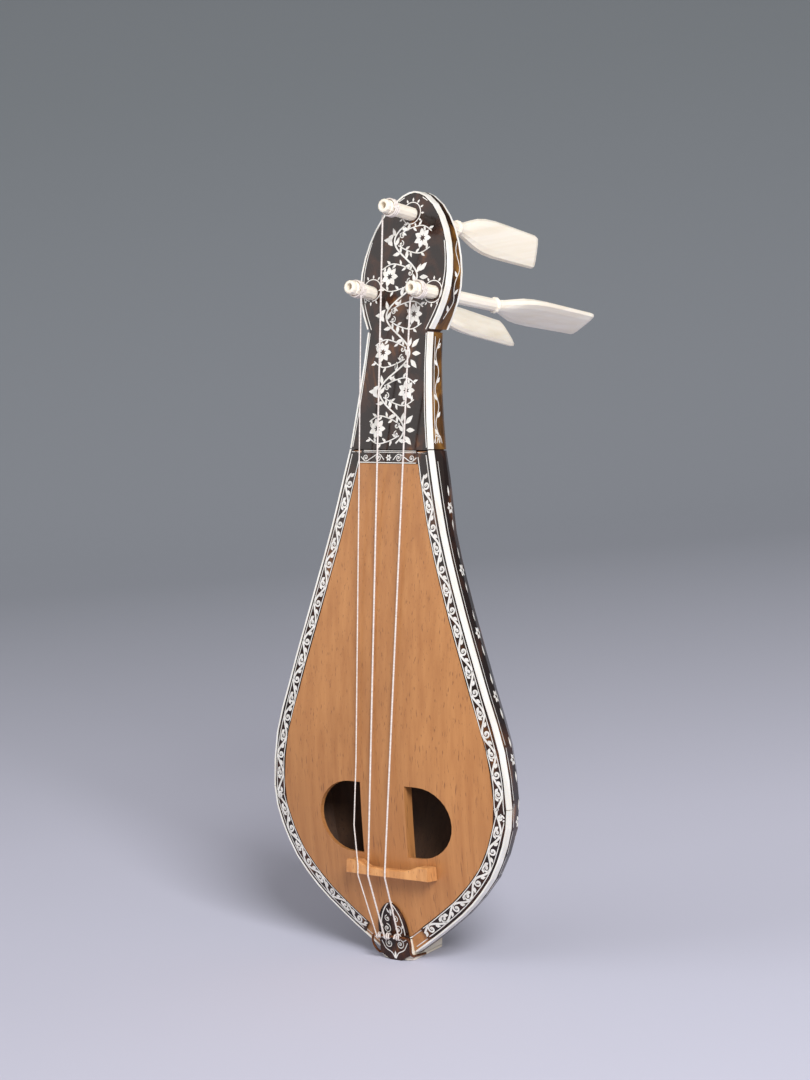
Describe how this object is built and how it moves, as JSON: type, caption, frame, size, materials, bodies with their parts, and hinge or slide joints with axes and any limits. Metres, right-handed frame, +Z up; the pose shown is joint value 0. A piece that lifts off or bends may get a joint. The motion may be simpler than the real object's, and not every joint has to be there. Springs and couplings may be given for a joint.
{
  "type": "bowed lyra",
  "caption": "Pear-shaped bowed lyra with a carved bowl, D-shaped soundholes, inlaid shell veneer, three gut strings and three long flat pegs, standing on its foot and leaning back",
  "frame": {"origin": "middle of the flat face of the foot plate, on the surface the instrument stands on", "axes": "+Z up; the instrument's axis leans 9.5 degrees back from it towards +Y, the soundboard faces -Y, +X is the right side seen from the front"},
  "size_m": [0.1542, 0.2043, 0.3992],
  "materials": {
    "carved_wood": "carved and scraped",
    "soundboard_wood": "thin old varnish",
    "tortoiseshell": "polished dark shell with white inlay",
    "amber_tortoiseshell": "polished amber shell with white inlay",
    "ivory": "polished ivory",
    "white_edging": "polished white edging",
    "bridge_wood": "oiled hardwood",
    "copper_wire": "tarnished copper",
    "gut": "dull twisted gut"
  },
  "bodies": {
    "root": {"carved_body": "carved_wood", "soundpost": "carved_wood", "soundboard": "soundboard_wood", "soundboard_brace": "soundboard_wood", "border_left": "tortoiseshell", "border_right": "tortoiseshell", "border_top": "tortoiseshell", "neck_head_faceplate": "tortoiseshell", "bowl_veneer_left": "tortoiseshell", "bowl_veneer_right": "tortoiseshell", "back_channel_strip": "tortoiseshell", "tail_plaque": "tortoiseshell", "tail_facet": "tortoiseshell", "head_back_veneer": "amber_tortoiseshell", "neck_veneer": "amber_tortoiseshell", "head_side_left": "amber_tortoiseshell", "head_side_right": "amber_tortoiseshell", "tail_block": "ivory", "foot_plate": "ivory", "head_edge_left": "white_edging", "head_edge_right": "white_edging", "head_rear_edge_left": "white_edging", "head_rear_edge_right": "white_edging", "neck_edge_left": "white_edging", "neck_edge_right": "white_edging", "body_edge_upper_left": "white_edging", "body_edge_upper_right": "white_edging", "body_edge_lower_left": "white_edging", "body_edge_lower_right": "white_edging", "bridge": "bridge_wood", "tail_wire": "copper_wire", "string_left": "gut", "string_top": "gut", "string_right": "gut"},
    "peg_left": {"peg_left": "ivory", "string_winding_left": "gut"},
    "peg_top": {"peg_top": "ivory", "string_winding_top": "gut"},
    "peg_right": {"peg_right": "ivory", "string_winding_right": "gut"}
  },
  "joints": [
    {"name": "peg_left_turn", "type": "hinge", "parent": "root", "child": "peg_left", "pos_m": [-0.02, 0.02105, 0.35322], "axis": [0, 0.9558, -0.294], "continuous": true},
    {"name": "peg_top_turn", "type": "hinge", "parent": "root", "child": "peg_top", "pos_m": [0, 0.03002, 0.3941], "axis": [0, 0.9608, -0.2773], "continuous": true},
    {"name": "peg_right_turn", "type": "hinge", "parent": "root", "child": "peg_right", "pos_m": [0.02, 0.02095, 0.35202], "axis": [0, 0.9711, -0.2385], "continuous": true}
  ]
}
